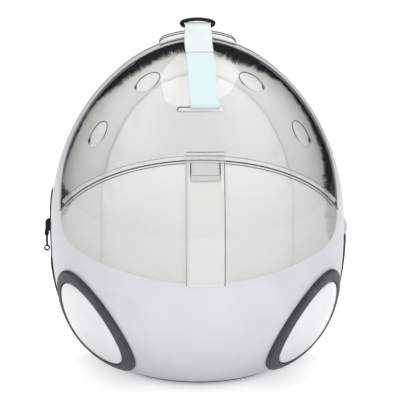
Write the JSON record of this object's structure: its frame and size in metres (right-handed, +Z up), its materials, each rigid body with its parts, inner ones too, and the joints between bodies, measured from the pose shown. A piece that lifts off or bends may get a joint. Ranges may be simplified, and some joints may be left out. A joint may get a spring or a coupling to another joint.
{
  "type": "pet carrier backpack",
  "caption": "Egg-shaped hard-shell pet carrier backpack with a white base, clear vented dome and front window, dark ringed side caps, edge zip, top strap and shoulder straps.",
  "frame": {"origin": "centre of the flat underside of the base pad", "axes": "+Z up, -Y towards the clear front, +X to the right seen from the front"},
  "size_m": [0.3532, 0.3011, 0.3974],
  "materials": {
    "white_shell": "satin gloss",
    "dark_rubber": "matte",
    "clear": "clear gloss",
    "ring_grey": "satin",
    "cap_white": "gloss",
    "zip_cloth": "woven",
    "black_metal": "gloss",
    "dark_cloth": "mesh cloth",
    "pale_cloth": "soft",
    "cyan_web": "woven",
    "white_sleeve": "smooth",
    "black_gloss": "gloss",
    "dark_web": "woven",
    "buckle_black": "satin"
  },
  "bodies": {
    "carrier": {"base_shell": "white_shell", "base_pad": "dark_rubber", "lower_window": "clear", "upper_window": "clear", "latch_tab": "clear", "top_cover": "clear", "side_ring_left": "ring_grey", "side_ring_right": "ring_grey", "side_cap_left": "cap_white", "side_cap_right": "cap_white", "zip_tape": "zip_cloth", "zip_slider": "black_metal", "back_panel": "dark_cloth", "inner_lining": "pale_cloth", "inner_pad": "pale_cloth", "handle_strap": "cyan_web", "handle_sleeve": "white_sleeve", "top_ring": "black_gloss", "shoulder_pad_left": "dark_cloth", "shoulder_pad_right": "dark_cloth", "strap_web_left": "dark_web", "strap_web_right": "dark_web", "strap_buckle_left": "buckle_black", "strap_buckle_right": "buckle_black"},
    "puller": {"zip_pull": "black_metal"}
  },
  "joints": [
    {"name": "pull_swing", "type": "hinge", "parent": "carrier", "child": "puller", "pos_m": [-0.1764, 0.0652, 0.146], "axis": [0, 1, 0], "range_deg": [0, 120]}
  ]
}
